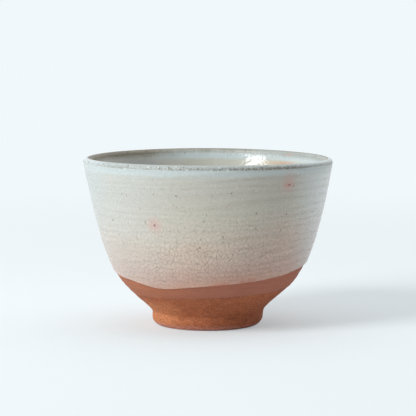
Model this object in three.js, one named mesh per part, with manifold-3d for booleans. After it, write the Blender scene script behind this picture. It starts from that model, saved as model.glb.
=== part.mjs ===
// Tea bowl: a wheel-thrown stoneware bowl on a foot ring, glazed all over inside, and glazed outside down to
// a slanting line where it was dipped. Millimetres, +Z up, origin at the middle of the plane it rests on.
// The photographed side faces -Y.
import * as THREE from "three";
import { mergeVertices } from "three/addons/utils/BufferGeometryUtils.js";
import Module from "manifold-3d";

const wasm = await Module();
wasm.setup();

// Overall sizes
const rimDiameter = 120; // over the glaze at the lip
const bowlHeight = 81; // from the resting plane to the top of the glazed lip

// Clay wall
const lipThickness = 2.8; // bare clay at the lip, which is rounded over
const wallThickness = 5; // bare clay low in the wall, thinning steadily towards the lip
const floorThickness = 5.5; // bare clay at the middle of the floor
const floorRadius = 13; // the nearly level middle of the floor
const floorDish = 0.7; // how far the middle of the floor lies below the edge of that level part

// Foot ring
const footDiameter = 53.6;
const footHeight = 7.3;
const footLandWidth = 3.6; // of the flat that the bowl rests on
const footRounding = 4; // of the outer bottom edge
const footInnerChamfer = 0.8; // of the inner bottom edge, which reaches the wall of the recess
const rootOverhang = 0.3; // how far the bowl's underside stands out past the ring

// Glaze
const glazeThickness = 0.6;
const glazeLineHeight = 29.6; // of the dipping plane at the bowl's axis
const glazeLineTilt = 7.5; // degrees
const glazeLineBearing = 69; // degrees from +X towards +Y, the way the glaze line rises
const cutOverrun = 10; // how far the cutting block passes the outside of the bowl

// Mesh
const turnSegments = 64;
const wallSteps = 14;
const insideSteps = 16;
const lipSteps = 3; // to each side of the crest
const roundingSteps = 5;

// The outside of the clay wall from its root at the foot to the lip: shares of the wall's rise and of its flare.
const wallOutlineShares = [
  { rise: 0, flare: 0 },
  { rise: 0.099, flare: 0.224 },
  { rise: 0.197, flare: 0.45 },
  { rise: 0.318, flare: 0.611 },
  { rise: 0.449, flare: 0.726 },
  { rise: 0.585, flare: 0.812 },
  { rise: 0.722, flare: 0.886 },
  { rise: 0.861, flare: 0.947 },
  { rise: 1, flare: 1 },
];
const lowestInsideStation = 2; // below this station the inside leaves the wall's line for the floor
const floorOutlineShares = [
  { radius: 1, dish: 1 },
  { radius: 0.5, dish: 0.25 },
  { radius: 0, dish: 0 },
];

// Sizes that follow from those above
const footRadius = footDiameter / 2;
const rootRadius = footRadius + rootOverhang;
const lipRounding = lipThickness / 2;
const lipRadius = rimDiameter / 2 - glazeThickness - lipRounding;
const lipHeight = bowlHeight - glazeThickness - lipRounding;
const wallRise = lipHeight - footHeight;
const wallFlare = lipRadius + lipRounding - rootRadius;
const floorHeight = footHeight + floorThickness;
const landOuterRadius = footRadius - footRounding;
const landInnerRadius = landOuterRadius - footLandWidth;
const recessRadius = landInnerRadius - footInnerChamfer;

// Section points carry the place on the clay's surface and the way that surface faces: x is the radius, y the height.
const sectionPoint = (place, facing) => ({ place, facing });
const places = (section) => section.map(({ place }) => place);

// Points spaced evenly along a curve that has the clay on its left.
function sectionAlong(curve, steps) {
  return Array.from({ length: steps + 1 }, (_, i) => {
    const tangent = curve.getTangentAt(i / steps);
    return sectionPoint(curve.getPointAt(i / steps), new THREE.Vector2(tangent.y, -tangent.x));
  });
}

// Part of the lip's rounding, from one angle to another, without its first point.
function lipArc(fromAngle, toAngle) {
  const centre = new THREE.Vector2(lipRadius, lipHeight);
  return Array.from({ length: lipSteps }, (_, i) => {
    const angle = THREE.MathUtils.lerp(fromAngle, toAngle, (i + 1) / lipSteps);
    const facing = new THREE.Vector2(Math.cos(angle), Math.sin(angle));
    return sectionPoint(centre.clone().addScaledVector(facing, lipRounding), facing);
  });
}

// The section's points moved off the clay by the glaze's thickness.
function glazed(section) {
  return section.map(({ place, facing }) => place.clone().addScaledVector(facing, glazeThickness));
}

const wallStations = wallOutlineShares.map(
  ({ rise, flare }) => new THREE.Vector2(rootRadius + flare * wallFlare, footHeight + rise * wallRise),
);
const wallCurve = new THREE.SplineCurve(wallStations);

// The clay's outside, from the root to the crest of the lip.
function outsideSection() {
  const wall = sectionAlong(wallCurve, wallSteps);
  return [...wall, ...lipArc(wall.at(-1).facing.angle() - 2 * Math.PI, Math.PI / 2)];
}

// The clay's inside at one station of the outline: the wall's thickness in from its outside.
function insideStation(index) {
  const share = index / (wallStations.length - 1);
  const thickness = THREE.MathUtils.lerp(wallThickness, lipThickness, share);
  const tangent = wallCurve.getTangent(share);
  return wallStations[index].clone().addScaledVector(new THREE.Vector2(-tangent.y, tangent.x), thickness);
}

// The clay's inside, from the crest of the lip to the middle of the floor.
function insideSection() {
  const stations = [];
  for (let index = wallStations.length - 2; index >= lowestInsideStation; index -= 1) {
    stations.push(insideStation(index));
  }
  const floor = floorOutlineShares.map(
    ({ radius, dish }) => new THREE.Vector2(radius * floorRadius, floorHeight + dish * floorDish),
  );
  const brink = new THREE.Vector2(lipRadius - lipRounding, lipHeight);
  const curve = new THREE.SplineCurve([brink, ...stations, ...floor]);
  const inside = sectionAlong(curve, insideSteps);
  const lip = lipArc(Math.PI / 2, inside[0].facing.angle());
  const middle = sectionPoint(new THREE.Vector2(0, floorHeight), new THREE.Vector2(0, 1));
  return [...lip.slice(0, -1), ...inside.slice(0, -1), middle];
}

const outside = outsideSection();
const inside = insideSection();
const crest = outside.at(-1);

// A closed body turned about +Z from a profile of radii and heights.
function turned(profile) {
  return new THREE.LatheGeometry(profile, turnSegments).rotateX(Math.PI / 2);
}

// The thrown bowl: wall, lip and floor, flat underneath where the foot ring joins it.
function bowlGeometry() {
  const underside = new THREE.Vector2(0, footHeight);
  return turned([underside, ...places(outside), ...places(inside)]);
}

// The foot ring: an upright ring, rounded outside and chamfered inside at the bottom.
function footGeometry() {
  const top = new THREE.Vector2(recessRadius, footHeight);
  const profile = [
    top,
    new THREE.Vector2(recessRadius, footInnerChamfer),
    new THREE.Vector2(landInnerRadius, 0),
  ];
  for (let step = 0; step <= roundingSteps; step += 1) {
    const angle = ((step / roundingSteps - 1) * Math.PI) / 2;
    const place = new THREE.Vector2(Math.cos(angle), 1 + Math.sin(angle)).multiplyScalar(footRounding);
    profile.push(place.add(new THREE.Vector2(landOuterRadius, 0)));
  }
  profile.push(new THREE.Vector2(footRadius, footHeight), top);
  return turned(profile);
}

// The glaze inside: a coat from the crest of the lip down over the floor.
function insideGlazeGeometry() {
  const coated = [crest, ...inside];
  return turned([...places(coated).reverse(), ...glazed(coated)]);
}

// Manifold's solid from a closed three.js geometry, and back again.
function toSolid(geometry) {
  const bare = geometry.clone();
  bare.deleteAttribute("normal");
  bare.deleteAttribute("uv");
  const merged = mergeVertices(bare);
  return new wasm.Manifold(
    new wasm.Mesh({
      numProp: 3,
      vertProperties: merged.attributes.position.array,
      triVerts: new Uint32Array(merged.index.array),
    }),
  );
}

function toGeometry(solid) {
  const mesh = solid.getMesh();
  const geometry = new THREE.BufferGeometry();
  geometry.setAttribute("position", new THREE.BufferAttribute(mesh.vertProperties, 3));
  geometry.setIndex(new THREE.BufferAttribute(mesh.triVerts, 1));
  const shaded = geometry.toNonIndexed();
  shaded.computeVertexNormals();
  return shaded;
}

// Everything below the tilted plane to which the bowl was dipped.
function belowGlazeLine() {
  const side = rimDiameter + 2 * cutOverrun;
  const depth = glazeLineHeight + cutOverrun;
  const bearing = THREE.MathUtils.degToRad(glazeLineBearing);
  const levelAxis = new THREE.Vector3(Math.sin(bearing), -Math.cos(bearing), 0);
  return new THREE.BoxGeometry(side, side, depth)
    .translate(0, 0, -depth / 2)
    .applyQuaternion(
      new THREE.Quaternion().setFromAxisAngle(levelAxis, THREE.MathUtils.degToRad(glazeLineTilt)),
    )
    .translate(0, 0, glazeLineHeight);
}

// The glaze outside: a coat from the crest of the lip down to the glaze line.
function outsideGlazeGeometry() {
  const onClay = places(outside).reverse();
  const coat = turned([onClay.at(-1), ...glazed(outside), ...onClay]);
  return toGeometry(toSolid(coat).subtract(toSolid(belowGlazeLine())));
}

const clay = { color: 0xa9633f, roughness: 0.85, metalness: 0 };
const outsideGlaze = { color: 0xc9c8bb, roughness: 0.35, metalness: 0 };
const insideGlaze = { color: 0xb9b5a6, roughness: 0.2, metalness: 0 };

function piece(name, geometry, finish) {
  const mesh = new THREE.Mesh(geometry, new THREE.MeshStandardMaterial(finish));
  mesh.name = name;
  return mesh;
}

const teaBowl = new THREE.Group();
teaBowl.add(
  piece("bowl_body", bowlGeometry(), clay),
  piece("foot_ring", footGeometry(), clay),
  piece("outer_glaze", outsideGlazeGeometry(), outsideGlaze),
  piece("inner_glaze", insideGlazeGeometry(), insideGlaze),
);

export default teaBowl;
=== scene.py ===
"""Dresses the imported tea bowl: thrown clay, a foot ring and two coats of glaze, lit in a bright studio.

Metres, +Z up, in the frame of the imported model. The photographed side of the bowl faces -Y. The patterns of
the finishes are written in millimetres.
"""

import logging
import math
from abc import ABC, abstractmethod
from collections.abc import Callable, Iterator
from dataclasses import dataclass
from enum import Enum
from functools import cached_property
from typing import ClassVar

import bpy
import numpy as np
from mathutils import Euler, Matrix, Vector, noise


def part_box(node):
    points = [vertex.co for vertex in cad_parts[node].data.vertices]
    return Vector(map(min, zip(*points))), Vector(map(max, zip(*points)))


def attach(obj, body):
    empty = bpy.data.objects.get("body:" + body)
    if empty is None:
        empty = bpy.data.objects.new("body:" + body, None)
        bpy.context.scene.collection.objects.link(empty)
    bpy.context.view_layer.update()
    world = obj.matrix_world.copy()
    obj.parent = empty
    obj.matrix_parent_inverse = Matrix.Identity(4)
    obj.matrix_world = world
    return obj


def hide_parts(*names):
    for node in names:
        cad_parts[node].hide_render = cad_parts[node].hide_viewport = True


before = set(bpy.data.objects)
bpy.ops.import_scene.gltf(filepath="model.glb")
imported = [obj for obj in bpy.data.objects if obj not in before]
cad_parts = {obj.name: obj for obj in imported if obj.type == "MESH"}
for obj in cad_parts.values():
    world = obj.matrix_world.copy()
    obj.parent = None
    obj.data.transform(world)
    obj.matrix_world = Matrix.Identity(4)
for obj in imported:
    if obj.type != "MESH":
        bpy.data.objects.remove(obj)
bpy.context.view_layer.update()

MM = 0.001
DEGREE = math.pi / 180
FULL_TURN = 2 * math.pi
WELD = MM / 1000  # two vertices nearer than this are one
HAIR = MM / 100  # a vertex nearer than this to a plane lies in it
ROOT_BODY = "root"

log = logging.getLogger("tea_bowl")


# Form of the clay


class Side(Enum):
    """Which way a side of the clay faces, as the sign of its normal against the line from crest to foot."""

    OUTSIDE = 1
    INSIDE = -1


def left_of(line: np.ndarray, *spacing: np.ndarray) -> np.ndarray:
    """Finds the unit normals on the left of a line.

    Args:
        line: its points.
        spacing: their distances along it, if they aren't even.

    Returns:
        A normal for each point.
    """
    tangent = np.gradient(line, *spacing, axis=0)
    tangent /= np.hypot(*tangent.T)[:, None]
    return np.stack([-tangent[:, 1], tangent[:, 0]], axis=1)


def spline(stations: np.ndarray, steps: int) -> np.ndarray:
    """Runs a smooth line through stations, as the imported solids' outlines do.

    Args:
        stations: radius and height of each station.
        steps: points to each span.

    Returns:
        The line's points, from the first station to the last.
    """
    padded = np.concatenate([stations[:1], stations, stations[-1:]])
    t = np.linspace(0, 1, steps, endpoint=False)[:, None]
    spans = []
    for before, start, end, after in zip(padded, padded[1:], padded[2:], padded[3:]):
        leaving, arriving = (end - before) / 2, (after - start) / 2
        cubic = 2 * start - 2 * end + leaving + arriving
        square = -3 * start + 3 * end - 2 * leaving - arriving
        spans.append(cubic * t**3 + square * t**2 + leaving * t + start)
    return np.concatenate([*spans, stations[-1:]])


@dataclass(frozen=True)
class Skin:
    """One side of the clay in section, as a dense line from the crest of the lip downwards."""

    run: np.ndarray
    radius: np.ndarray
    height: np.ndarray
    facing: np.ndarray

    @classmethod
    def along(cls, line: np.ndarray, side: Side) -> "Skin":
        """Measures a line that runs from the crest downwards as one side of the clay."""
        run = np.concatenate([[0], np.cumsum(np.hypot(*np.diff(line, axis=0).T))])
        return cls(run, line[:, 0], line[:, 1], left_of(line, run) * side.value)

    @property
    def length(self) -> float:
        """The whole distance along the side."""
        return float(self.run[-1])

    def place(self, run: np.ndarray, lift: np.ndarray) -> tuple[np.ndarray, np.ndarray]:
        """Finds points on or off the side.

        Args:
            run: distances from the crest along the clay.
            lift: heights of the points off the clay.

        Returns:
            The points' radii and heights.
        """
        radius = np.interp(run, self.run, self.radius) + lift * np.interp(run, self.run, self.facing[:, 0])
        height = np.interp(run, self.run, self.height) + lift * np.interp(run, self.run, self.facing[:, 1])
        return radius, height


@dataclass(frozen=True)
class BowlForm:
    """The clay's form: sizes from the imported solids' boxes, and the outline that the wall was thrown to."""

    lip_radius: float
    lip_rounding: float
    lip_height: float
    foot_radius: float
    foot_height: float
    floor_height: float
    glaze: float
    root_overhang: float = 0.3 * MM
    wall_thickness: float = 5 * MM
    floor_radius: float = 13 * MM
    floor_dish: float = 0.7 * MM
    foot_land: float = 3.6 * MM
    foot_rounding: float = 4 * MM
    foot_chamfer: float = 0.8 * MM
    rise_shares: tuple[float, ...] = (0, 0.099, 0.197, 0.318, 0.449, 0.585, 0.722, 0.861, 1)
    flare_shares: tuple[float, ...] = (0, 0.224, 0.45, 0.611, 0.726, 0.812, 0.886, 0.947, 1)
    floor_shares: tuple[float, ...] = (1, 0.5, 0)
    lowest_inside_station: int = 2
    span_steps: int = 60

    @classmethod
    def of_frame(cls) -> "BowlForm":
        """Reads the form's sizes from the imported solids.

        Returns:
            The form.
        """
        body_low, body_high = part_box("bowl_body")
        _, foot_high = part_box("foot_ring")
        _, outer_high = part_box("outer_glaze")
        inner_low, inner_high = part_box("inner_glaze")
        rounding = body_high.x - inner_high.x
        return cls(
            lip_radius=inner_high.x,
            lip_rounding=rounding,
            lip_height=body_high.z - rounding,
            foot_radius=foot_high.x,
            foot_height=body_low.z,
            floor_height=inner_low.z,
            glaze=outer_high.z - body_high.z,
        )

    @property
    def root_radius(self) -> float:
        """Radius of the bowl where it meets the foot ring."""
        return self.foot_radius + self.root_overhang

    @property
    def land_outer_radius(self) -> float:
        """Outer radius of the flat that the bowl rests on."""
        return self.foot_radius - self.foot_rounding

    @property
    def recess_radius(self) -> float:
        """Radius of the hollow inside the foot ring."""
        return self.land_outer_radius - self.foot_land - self.foot_chamfer

    def wall_stations(self) -> np.ndarray:
        """Finds the stations of the wall's outside.

        Returns:
            Their radii and heights, from the root to the brink of the lip.
        """
        brink = self.lip_radius + self.lip_rounding
        radius = self.root_radius + np.array(self.flare_shares) * (brink - self.root_radius)
        height = self.foot_height + np.array(self.rise_shares) * (self.lip_height - self.foot_height)
        return np.stack([radius, height], axis=1)

    def lip_arc(self, end: float) -> np.ndarray:
        """Draws the lip's rounding from its crest.

        Args:
            end: the angle that it stops short of.

        Returns:
            Radius and height of each point.
        """
        angles = np.linspace(math.pi / 2, end, self.span_steps, endpoint=False)
        round_lip = np.stack([np.cos(angles), np.sin(angles)], axis=1)
        return np.array([self.lip_radius, self.lip_height]) + self.lip_rounding * round_lip

    def outside(self) -> Skin:
        """Draws the clay's outside.

        Returns:
            The side, from the crest of the lip to the root.
        """
        wall = spline(self.wall_stations(), self.span_steps)[::-1]
        first = wall[0] - wall[1]
        arc = self.lip_arc(math.atan2(-first[0], first[1]))
        return Skin.along(np.concatenate([arc, wall]), Side.OUTSIDE)

    def inside(self) -> Skin:
        """Draws the clay's inside, as far in from the outside's stations as the wall is thick.

        Returns:
            The side, from the crest of the lip to the middle of the floor.
        """
        stations = self.wall_stations()
        thickness = np.linspace(self.wall_thickness, 2 * self.lip_rounding, len(stations))[:, None]
        moved = stations + thickness * left_of(stations)
        kept = moved[self.lowest_inside_station : -1][::-1]
        brink = [[self.lip_radius - self.lip_rounding, self.lip_height]]
        share = np.array(self.floor_shares)
        floor = np.stack([share * self.floor_radius, self.floor_height + share**2 * self.floor_dish], axis=1)
        wall = spline(np.concatenate([brink, kept, floor]), self.span_steps)
        return Skin.along(np.concatenate([self.lip_arc(math.pi), wall]), Side.INSIDE)


# Marks of the hand and the tools


class Mark(Enum):
    """What a piece's vertices carry, by the name of the attribute."""

    RUN = "run"
    LIFT = "lift"
    FROM_LIP = "from_lip"
    FROM_EDGE = "from_edge"
    RIDGE = "ridge"
    TURNED = "turned"
    GROOVE = "groove"


Marks = dict[Mark, np.ndarray]


@dataclass
class Cloud:
    """A piece's vertices in the bowl's own terms, to be moved and put back."""

    azimuth: np.ndarray
    radius: np.ndarray
    height: np.ndarray
    run: np.ndarray
    lift: np.ndarray


def chance(x: np.ndarray, y: np.ndarray, z: np.ndarray) -> np.ndarray:
    """Smooth noise at each place, from about -1 to 1."""
    return np.array([noise.noise(place) for place in zip(x, y, z)]) * 2


def spiral(azimuth: np.ndarray, run: np.ndarray, pitch: float, drift: np.ndarray | float = 0.0) -> np.ndarray:
    """The waves of a spiral about the axis: 1 on top of one, -1 between two, shifted by a drift in turns."""
    return np.sin(FULL_TURN * (run / pitch + azimuth / FULL_TURN + drift))


@dataclass(frozen=True)
class Wander:
    """Smooth chance variation over a turned surface, without a seam."""

    around: float  # swells in a radian, roughly
    along: float  # length of a swell along the section
    seed: float
    strength: float

    def at(self, azimuth: np.ndarray, run: np.ndarray | float = 0.0) -> np.ndarray:
        """Reads the variation at each azimuth and run: about 0, and mostly within the strength of it."""
        x, y = self.around * np.cos(azimuth) + self.seed, self.around * np.sin(azimuth) - self.seed
        return self.strength * chance(x, y, np.zeros_like(azimuth) + run / self.along + self.seed)


@dataclass(frozen=True)
class Grit:
    """Chance roughness over a piece, without a seam."""

    size: float
    depth: float
    seed: float

    def over(self, cloud: Cloud) -> np.ndarray:
        """Reads the height of the roughness at each vertex."""
        x, y = (cloud.radius * turn(cloud.azimuth) / self.size for turn in (np.cos, np.sin))
        return self.depth * chance(x + self.seed, y, cloud.height / self.size - self.seed)


@dataclass(frozen=True)
class ThrowingMarks:
    """The low spiral that the fingers leave, the slight unevenness of the rim, and a flatter left side."""

    pitch: float = 3.45 * MM
    depth: float = 0.038 * MM
    drift: Wander = Wander(0.9, 9 * MM, 3.1, 0.5)
    fine_pitch: float = 1.5 * MM
    fine_depth: float = 0.012 * MM
    fine_drift: Wander = Wander(1.5, 8 * MM, 6.3, 0.8)
    mean_strength: float = 0.8
    strength: Wander = Wander(1.4, 6 * MM, 7.7, 0.9)
    first_runs: tuple[float, float] = (1.5 * MM, 4.5 * MM)
    rim_tilt: float = -0.18 * MM
    rim_saddle: float = -0.23 * MM
    rim_back: float = 0.22 * MM
    rim_wave: Wander = Wander(1.6, 1.0, 11.3, 0.06 * MM)
    rim_reach: float = 30 * MM
    flat_depth: float = 0.5 * MM
    flat_runs: tuple[float, float, float, float] = (8 * MM, 18 * MM, 50 * MM, 60 * MM)

    def ridge(self, azimuth: np.ndarray, run: np.ndarray) -> np.ndarray:
        """Where each point lies on the spiral, 1 on top of a ridge and -1 at the bottom of a groove."""
        return spiral(azimuth, run, self.pitch, self.drift.at(azimuth, run))

    def lift(self, azimuth: np.ndarray, run: np.ndarray) -> np.ndarray:
        """Measures the marks off the thrown surface.

        Args:
            azimuth: angle of each point about the axis.
            run: distance of each point from the crest.

        Returns:
            The lift of each point.
        """
        fine = self.fine_depth * spiral(azimuth, run, self.fine_pitch, self.fine_drift.at(azimuth, run))
        strength = self.mean_strength + self.strength.at(azimuth, run)
        begun = np.interp(run, self.first_runs, (0, 1))
        left = np.clip(-np.cos(azimuth), 0, 1) ** 2
        flat = self.flat_depth * left * np.interp(run, self.flat_runs, (0, 1, 1, 0))
        return begun * strength * (self.depth * self.ridge(azimuth, run) + fine) - flat

    def rise(self, azimuth: np.ndarray, run: np.ndarray) -> np.ndarray:
        """Measures how much higher the unevenness of the rim sets each point.

        Args:
            azimuth: angle of each point about the axis.
            run: distance of each point from the crest.

        Returns:
            The rise of each point.
        """
        tilt = self.rim_tilt * np.cos(azimuth) + self.rim_back * np.sin(azimuth)
        uneven = tilt + self.rim_saddle * np.cos(2 * azimuth) + self.rim_wave.at(azimuth)
        return uneven * np.exp(-run / self.rim_reach)


@dataclass(frozen=True)
class DipLine:
    """The lower edge of the outer glaze: a slanting plane, with one sag and a slight ripple."""

    height: float = 29.9 * MM
    tilt: float = 7.7 * DEGREE
    bearing: float = 69.3 * DEGREE
    sag: float = 2.1 * MM
    sag_azimuth: float = -120 * DEGREE
    sag_width: float = 17 * DEGREE
    ripple: Wander = Wander(4, 1.0, 5.9, 0.12 * MM)

    def run_along(self, skin: Skin, azimuth: np.ndarray) -> np.ndarray:
        """Finds the line on the clay.

        Args:
            skin: the clay's outside.
            azimuth: angles about the axis.

        Returns:
            The distance from the crest to the line at each angle.
        """
        off = (azimuth - self.sag_azimuth + math.pi) % FULL_TURN - math.pi
        level = self.height - self.sag * np.exp(-((off / self.sag_width) ** 2)) + self.ripple.at(azimuth)
        slope = math.tan(self.tilt) * np.cos(azimuth - self.bearing)
        low = skin.run >= skin.length / 2
        run, radius, height = skin.run[low], skin.radius[low], skin.height[low]
        lines = zip(level, slope)
        return np.array([np.interp(0, centre + rise * radius - height, run) for centre, rise in lines])


@dataclass(frozen=True)
class TurnedZone:
    """The lower clay that was turned once it had stiffened, with the marks of the tool."""

    height: float = 17.5 * MM
    slope: float = 0.04
    edge: Wander = Wander(3, 1.0, 2.2, 0.12 * MM)
    depth: float = 0.12 * MM
    groove: float = 0.1 * MM
    groove_width: float = 0.35 * MM
    mean_score: float = 0.45
    score: Wander = Wander(5, 1.0, 8.8, 0.9)
    ring_pitch: float = 0.85 * MM
    ring_depth: float = 0.022 * MM
    mean_ring: float = 0.6
    rings: Wander = Wander(2, 1.5 * MM, 4.4, 0.8)
    grit: Grit = Grit(0.8 * MM, 0.03 * MM, 6.1)
    left_swell: float = 0.5 * MM
    left_height: float = 14.5 * MM
    left_reach: float = 3.5 * MM
    right_depth: float = 0.42 * MM
    right_heights: tuple[float, float, float, float] = (6.5 * MM, 8 * MM, 11 * MM, 15 * MM)

    def below(self, cloud: Cloud) -> np.ndarray:
        """Distance of each vertex below the upper edge of the turned clay."""
        edge = self.height + self.slope * cloud.radius * np.cos(cloud.azimuth)
        return edge + self.edge.at(cloud.azimuth) - cloud.height

    def scored(self, cloud: Cloud) -> np.ndarray:
        """Where the tool scored a broken line along the upper edge, from 0 to 1."""
        strength = np.clip(self.mean_score + self.score.at(cloud.azimuth), 0, 1)
        return strength * np.exp(-((self.below(cloud) / self.groove_width) ** 2))

    def cut(self, cloud: Cloud) -> np.ndarray:
        """Measures how far the tool cut into the clay.

        Args:
            cloud: the clay's vertices.

        Returns:
            The depth of the cut at each.
        """
        inside = np.clip(self.below(cloud) / self.groove_width + 0.5, 0, 1)
        rings = self.ring_depth * spiral(cloud.azimuth, cloud.height, self.ring_pitch)
        rings *= self.mean_ring + self.rings.at(cloud.azimuth, cloud.height)
        return inside * (self.depth + rings) + self.groove * self.scored(cloud) + self.unevenness(cloud)

    def unevenness(self, cloud: Cloud) -> np.ndarray:
        """Measures how much deeper the tool cut on the right than on the left, where clay was left standing.

        Args:
            cloud: the clay's vertices.

        Returns:
            The further depth at each, less than 0 on the left.
        """
        side = np.cos(cloud.azimuth)
        swell = np.exp(-(((cloud.height - self.left_height) / self.left_reach) ** 2))
        hollow = np.interp(cloud.height, self.right_heights, (0, 1, 1, 0))
        return np.where(side > 0, self.right_depth * hollow, -self.left_swell * swell) * side**2


# Turning


@dataclass(frozen=True)
class Section:
    """A piece's cross-section: rows of radius, height, run and lift, with a column for each point."""

    rows: np.ndarray

    @classmethod
    def on_skin(cls, skin: Skin, run: np.ndarray, lift: np.ndarray | float = 0.0) -> "Section":
        """Draws a line over one side of the clay, from distances from the crest and heights off the clay."""
        lifts = np.broadcast_to(lift, run.shape)
        return cls(np.stack([*skin.place(run, lifts), run, lifts]))

    @classmethod
    def free(cls, points: np.ndarray) -> "Section":
        """Draws a line through free points of radius and height."""
        return cls(np.concatenate([points.T, np.zeros_like(points.T)]))

    def then(self, *others: "Section") -> "Section":
        """This line carried on by others."""
        return Section(np.concatenate([self.rows, *(other.rows for other in others)], axis=1))

    def closed(self) -> "Section":
        """This line carried back to its first point."""
        return Section(np.concatenate([self.rows, self.rows[:, :1]], axis=1))


def read_mark(piece: bpy.types.Object, mark: Mark) -> np.ndarray:
    """Reads what a piece's vertices carry.

    Args:
        piece: the piece.
        mark: which of their marks.

    Returns:
        A value for each vertex.
    """
    values = np.zeros(len(piece.data.vertices), np.float32)
    piece.data.attributes[mark.value].data.foreach_get("value", values)
    return values.astype(float)


def write_marks(piece: bpy.types.Object, marks: Marks) -> None:
    """Writes what a piece's vertices carry.

    Args:
        piece: the piece.
        marks: a value for each vertex, by mark.
    """
    for mark, values in marks.items():
        attribute = piece.data.attributes.new(mark.value, "FLOAT", "POINT")
        attribute.data.foreach_set("value", values.astype(np.float32))


@dataclass(frozen=True)
class Wheel:
    """Turns sections about the bowl's axis, as a potter's wheel does."""

    steps: int = 256

    def turn(self, name: str, section: Section) -> bpy.types.Object:
        """Draws a section and turns it into a closed piece.

        Args:
            name: the piece's name.
            section: the line, which starts and ends on the axis or closes on itself.

        Returns:
            The piece, whose vertices carry their run and lift.
        """
        bpy.ops.object.select_all(action="DESELECT")
        points = np.insert(section.rows[:2].T, 1, 0, axis=1)
        bpy.ops.mesh.primitive_plane_add(size=MM, location=points[0])
        piece = bpy.context.object
        piece.name = piece.data.name = name
        bpy.ops.object.mode_set(mode="EDIT")
        bpy.ops.mesh.merge(type="CENTER")
        for step in np.diff(points, axis=0):
            bpy.ops.mesh.extrude_region_move(TRANSFORM_OT_translate={"value": tuple(step)})
        bpy.ops.object.mode_set(mode="OBJECT")
        bpy.ops.object.transform_apply(location=True)
        self._mark(piece, section)
        screw = piece.modifiers.new("turn", "SCREW")
        screw.axis = "Z"
        screw.steps = screw.render_steps = self.steps
        screw.use_merge_vertices = True
        screw.merge_threshold = WELD
        bpy.ops.object.modifier_apply(modifier=screw.name)
        self._close()
        return piece

    def _mark(self, piece: bpy.types.Object, section: Section) -> None:
        """Writes each point's run and lift on the drawn line, whose vertices come in another order.

        Args:
            piece: the drawn line.
            section: what it was drawn from.
        """
        drawn = np.array([vertex.co for vertex in piece.data.vertices])
        radius, height, run, lift = section.rows
        nearest = np.hypot(drawn[:, :1] - radius, drawn[:, 2:] - height).argmin(axis=1)
        write_marks(piece, {Mark.RUN: run[nearest], Mark.LIFT: lift[nearest]})

    def _close(self) -> None:
        """Joins the seam and the poles of the active piece, and faces it outwards."""
        bpy.ops.object.mode_set(mode="EDIT")
        bpy.ops.mesh.select_all(action="SELECT")
        bpy.ops.mesh.remove_doubles(threshold=WELD)
        bpy.ops.mesh.normals_make_consistent(inside=False)
        bpy.ops.object.mode_set(mode="OBJECT")


# Pieces


@dataclass
class Piece(ABC):
    """One piece of the bowl, turned from its section, worked by hand and dressed."""

    form: BowlForm
    wheel: Wheel = Wheel()
    crease: float = 50 * DEGREE  # an edge that turns further stays sharp
    name: ClassVar[str]
    node: ClassVar[str]
    slot: ClassVar[str]

    @abstractmethod
    def section(self) -> Section:
        """Draws the piece in section."""

    @abstractmethod
    def work(self, cloud: Cloud) -> Marks:
        """Moves the piece's vertices, and returns the marks that they are to carry."""

    def build(self) -> bpy.types.Object:
        """Turns the piece and works it.

        Returns:
            The mesh.
        """
        piece = self.wheel.turn(self.name, self.section())
        vertices = piece.data.vertices
        place = np.zeros(3 * len(vertices), np.float32)
        vertices.foreach_get("co", place)
        x, y, z = place.reshape(-1, 3).T.astype(float)
        run, lift = read_mark(piece, Mark.RUN), read_mark(piece, Mark.LIFT)
        cloud = Cloud(np.arctan2(y, x), np.hypot(x, y), z, run, lift)
        write_marks(piece, self.work(cloud))
        x, y = cloud.radius * np.cos(cloud.azimuth), cloud.radius * np.sin(cloud.azimuth)
        vertices.foreach_set("co", np.stack([x, y, cloud.height], axis=1).ravel())
        piece.data.update()
        return piece

    def dress(self, piece: bpy.types.Object, material: bpy.types.Material) -> None:
        """Smooths the mesh, gives it its material and puts it in its node's place.

        Args:
            piece: the finished mesh.
            material: its finish.
        """
        bpy.ops.object.select_all(action="DESELECT")
        piece.select_set(True)
        bpy.context.view_layer.objects.active = piece
        bpy.ops.object.shade_smooth_by_angle(angle=self.crease)
        piece.data.materials.append(material)
        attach(piece, ROOT_BODY)
        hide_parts(self.node)


@dataclass
class Coat(Piece):
    """A coat of glaze on one side of the clay, in fine steps where it shows, and sunk a little into it."""

    marks: ThrowingMarks = ThrowingMarks()
    lip_run: float = 2.4 * MM
    lip_steps: int = 14
    crest_step: float = 0.02 * MM
    step: float = 0.45 * MM
    back_step: float = 2 * MM
    embed: float = 0.05 * MM

    def lip_runs(self) -> np.ndarray:
        """Distances of the points over the lip from its crest."""
        return np.linspace(self.crest_step, self.lip_run, self.lip_steps)

    def front_runs(self, end: float) -> np.ndarray:
        """Distances of the points on the shown face, from the crest to short of the end."""
        return np.concatenate([[0], self.lip_runs(), np.arange(self.lip_run + self.step, end, self.step)])

    def back(self, skin: Skin, start: float) -> Section:
        """Draws the hidden face, from a given distance down the side up to the crest."""
        wall = np.arange(start, self.lip_run, -self.back_step)
        return Section.on_skin(skin, np.concatenate([wall, self.lip_runs()[::-2], [0]]), -self.embed)


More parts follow.
